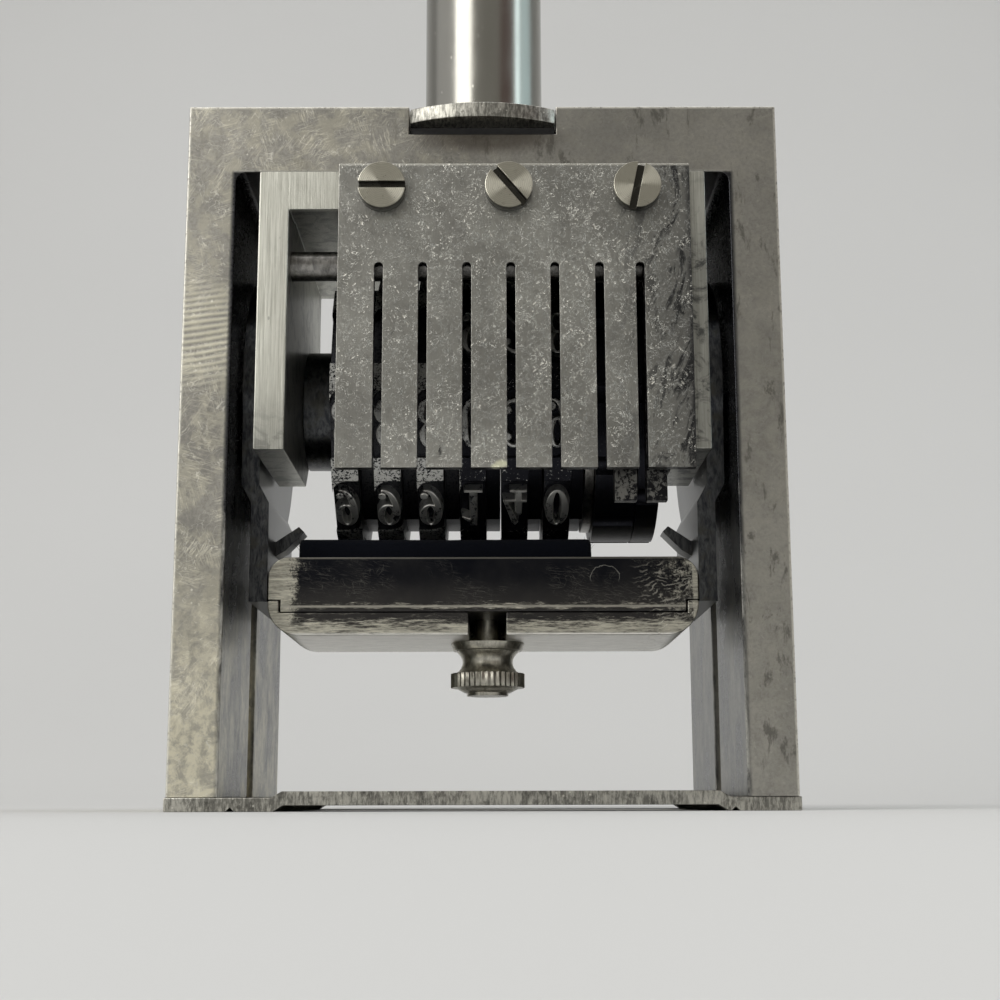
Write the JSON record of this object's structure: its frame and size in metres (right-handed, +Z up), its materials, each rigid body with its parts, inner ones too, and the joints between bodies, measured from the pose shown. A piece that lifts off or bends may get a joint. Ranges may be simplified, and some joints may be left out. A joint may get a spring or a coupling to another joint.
{
  "type": "numbering machine",
  "caption": "Hand numbering machine: arched steel frame, sprung plunger, carriage with figure wheels and comb plate, and an ink pad that swings clear as it prints.",
  "frame": {"origin": "on the underside of the window plate, below the plunger's axis", "axes": "+Z up along the plunger, -Y is the front with the comb plate, +X to the right seen from the front"},
  "size_m": [0.0522, 0.044, 0.1675],
  "materials": {
    "frame_steel": "worn nickel over steel, wavy burnish marks",
    "plate_steel": "worn nickel, pitted edge",
    "carriage_steel": "vertical brushing",
    "comb_steel": "smooth grey with fine scratches and ink smears",
    "tube_chrome": "polished",
    "screw_steel": "turned faces",
    "rod_steel": "turned, oiled",
    "arm_steel": "dull, ink stained",
    "holder_steel": "worn bright at the edges, ink stained in the middle",
    "inked_wheel": "blackened with ink",
    "pawl_steel": "dull, ink stained",
    "pad_felt": "ink soaked felt",
    "buffer_fibre": "dark fibre",
    "grip_black": "turned and polished"
  },
  "bodies": {
    "stand": {"base_plate": "plate_steel", "frame": "frame_steel", "base_screws": "screw_steel", "tube_flange": "plate_steel", "buffer_washer": "buffer_fibre", "guide_tube": "tube_chrome", "return_spring": "rod_steel"},
    "carriage": {"carriage": "carriage_steel", "comb_plate": "comb_steel", "comb_screws": "screw_steel", "wheel_axle": "rod_steel", "pawl_rod": "rod_steel", "drum_spacer": "rod_steel", "plunger_rod": "rod_steel", "spring_collar": "rod_steel", "handle_ferrule": "tube_chrome", "handle_grip": "grip_black"},
    "ink_holder": {"ink_arm_left": "arm_steel", "ink_arm_right": "arm_steel", "cam_pins": "rod_steel", "ink_frame": "holder_steel", "pad_tray": "holder_steel", "ink_pad": "pad_felt", "arm_rivets": "rod_steel", "cup_washer": "screw_steel"},
    "thumb_screw": {"thumb_screw": "screw_steel"},
    "feed_yoke": {"feed_arm_left": "arm_steel", "feed_arm_right": "arm_steel", "feed_rod": "rod_steel"},
    "feed_pawl": {"feed_pawl": "arm_steel"},
    "repeat_drum": {"repeat_drum": "inked_wheel"},
    "selector_disc": {"selector_disc": "inked_wheel"},
    "number_wheel_1": {"number_wheel_1": "inked_wheel"},
    "number_wheel_2": {"number_wheel_2": "inked_wheel"},
    "number_wheel_3": {"number_wheel_3": "inked_wheel"},
    "number_wheel_4": {"number_wheel_4": "inked_wheel"},
    "number_wheel_5": {"number_wheel_5": "inked_wheel"},
    "number_wheel_6": {"number_wheel_6": "inked_wheel"},
    "detent_pawl_1": {"detent_pawl_1": "pawl_steel"},
    "detent_pawl_2": {"detent_pawl_2": "pawl_steel"},
    "detent_pawl_3": {"detent_pawl_3": "pawl_steel"},
    "detent_pawl_4": {"detent_pawl_4": "pawl_steel"},
    "detent_pawl_5": {"detent_pawl_5": "pawl_steel"},
    "detent_pawl_6": {"detent_pawl_6": "pawl_steel"},
    "detent_pawl_7": {"detent_pawl_7": "pawl_steel"},
    "detent_pawl_8": {"detent_pawl_8": "pawl_steel"}
  },
  "joints": [
    {"name": "plunger", "type": "slide", "parent": "stand", "child": "carriage", "axis": [0, 0, -1], "range_m": [0, 0.024], "stiffness_N_per_m": 300, "springref_m": -0.03, "deforming": ["return_spring"]},
    {"name": "ink_swing", "type": "hinge", "parent": "carriage", "child": "ink_holder", "pos_m": [0, 0, 0.0378], "axis": [1, 0, 0], "range_deg": [0, 100]},
    {"name": "feed_swing", "type": "hinge", "parent": "carriage", "child": "feed_yoke", "pos_m": [0, 0, 0.0378], "axis": [1, 0, 0], "range_deg": [0, 36]},
    {"name": "thumb_turn", "type": "hinge", "parent": "ink_holder", "child": "thumb_screw", "pos_m": [0.00035, -0.0031, 0.012], "axis": [0, 0, -1], "range_deg": [0, 720]},
    {"name": "feed_pawl_lift", "type": "hinge", "parent": "feed_yoke", "child": "feed_pawl", "pos_m": [0, 0.01553, 0.04167], "axis": [1, 0, 0], "range_deg": [0, 10], "stiffness_Nm_per_rad": 0.002, "springref_deg": -17.19},
    {"name": "wheel_turn_1", "type": "hinge", "parent": "carriage", "child": "number_wheel_1", "pos_m": [0, 0, 0.0378], "axis": [1, 0, 0], "continuous": true},
    {"name": "wheel_turn_2", "type": "hinge", "parent": "carriage", "child": "number_wheel_2", "pos_m": [0, 0, 0.0378], "axis": [1, 0, 0], "continuous": true},
    {"name": "wheel_turn_3", "type": "hinge", "parent": "carriage", "child": "number_wheel_3", "pos_m": [0, 0, 0.0378], "axis": [1, 0, 0], "continuous": true},
    {"name": "wheel_turn_4", "type": "hinge", "parent": "carriage", "child": "number_wheel_4", "pos_m": [0, 0, 0.0378], "axis": [1, 0, 0], "continuous": true},
    {"name": "wheel_turn_5", "type": "hinge", "parent": "carriage", "child": "number_wheel_5", "pos_m": [0, 0, 0.0378], "axis": [1, 0, 0], "continuous": true},
    {"name": "wheel_turn_6", "type": "hinge", "parent": "carriage", "child": "number_wheel_6", "pos_m": [0, 0, 0.0378], "axis": [1, 0, 0], "continuous": true},
    {"name": "repeat_drum_turn", "type": "hinge", "parent": "carriage", "child": "repeat_drum", "pos_m": [0, 0, 0.0378], "axis": [1, 0, 0], "continuous": true},
    {"name": "selector_turn", "type": "hinge", "parent": "carriage", "child": "selector_disc", "pos_m": [0, 0, 0.0378], "axis": [1, 0, 0], "range_deg": [-180, 180]},
    {"name": "detent_lift_1", "type": "hinge", "parent": "carriage", "child": "detent_pawl_1", "pos_m": [0, -0.0146, 0.0475], "axis": [-1, 0, 0], "range_deg": [0, 3], "stiffness_Nm_per_rad": 0.002, "springref_deg": -17.19},
    {"name": "detent_lift_2", "type": "hinge", "parent": "carriage", "child": "detent_pawl_2", "pos_m": [0, -0.0146, 0.0475], "axis": [-1, 0, 0], "range_deg": [0, 3], "stiffness_Nm_per_rad": 0.002, "springref_deg": -17.19},
    {"name": "detent_lift_3", "type": "hinge", "parent": "carriage", "child": "detent_pawl_3", "pos_m": [0, -0.0146, 0.0475], "axis": [-1, 0, 0], "range_deg": [0, 3], "stiffness_Nm_per_rad": 0.002, "springref_deg": -17.19},
    {"name": "detent_lift_4", "type": "hinge", "parent": "carriage", "child": "detent_pawl_4", "pos_m": [0, -0.0146, 0.0475], "axis": [-1, 0, 0], "range_deg": [0, 3], "stiffness_Nm_per_rad": 0.002, "springref_deg": -17.19},
    {"name": "detent_lift_5", "type": "hinge", "parent": "carriage", "child": "detent_pawl_5", "pos_m": [0, -0.0146, 0.0475], "axis": [-1, 0, 0], "range_deg": [0, 3], "stiffness_Nm_per_rad": 0.002, "springref_deg": -17.19},
    {"name": "detent_lift_6", "type": "hinge", "parent": "carriage", "child": "detent_pawl_6", "pos_m": [0, -0.0146, 0.0475], "axis": [-1, 0, 0], "range_deg": [0, 3], "stiffness_Nm_per_rad": 0.002, "springref_deg": -17.19},
    {"name": "detent_lift_7", "type": "hinge", "parent": "carriage", "child": "detent_pawl_7", "pos_m": [0, -0.0146, 0.0475], "axis": [-1, 0, 0], "range_deg": [0, 3], "stiffness_Nm_per_rad": 0.002, "springref_deg": -17.19},
    {"name": "detent_lift_8", "type": "hinge", "parent": "carriage", "child": "detent_pawl_8", "pos_m": [0, -0.0146, 0.0475], "axis": [-1, 0, 0], "range_deg": [0, 3], "stiffness_Nm_per_rad": 0.002, "springref_deg": -17.19}
  ],
  "couplings": [
    {"joint": "ink_swing", "follows": "plunger", "rad_per_m": 72.722},
    {"joint": "feed_swing", "follows": "plunger", "rad_per_m": 26.18}
  ]
}
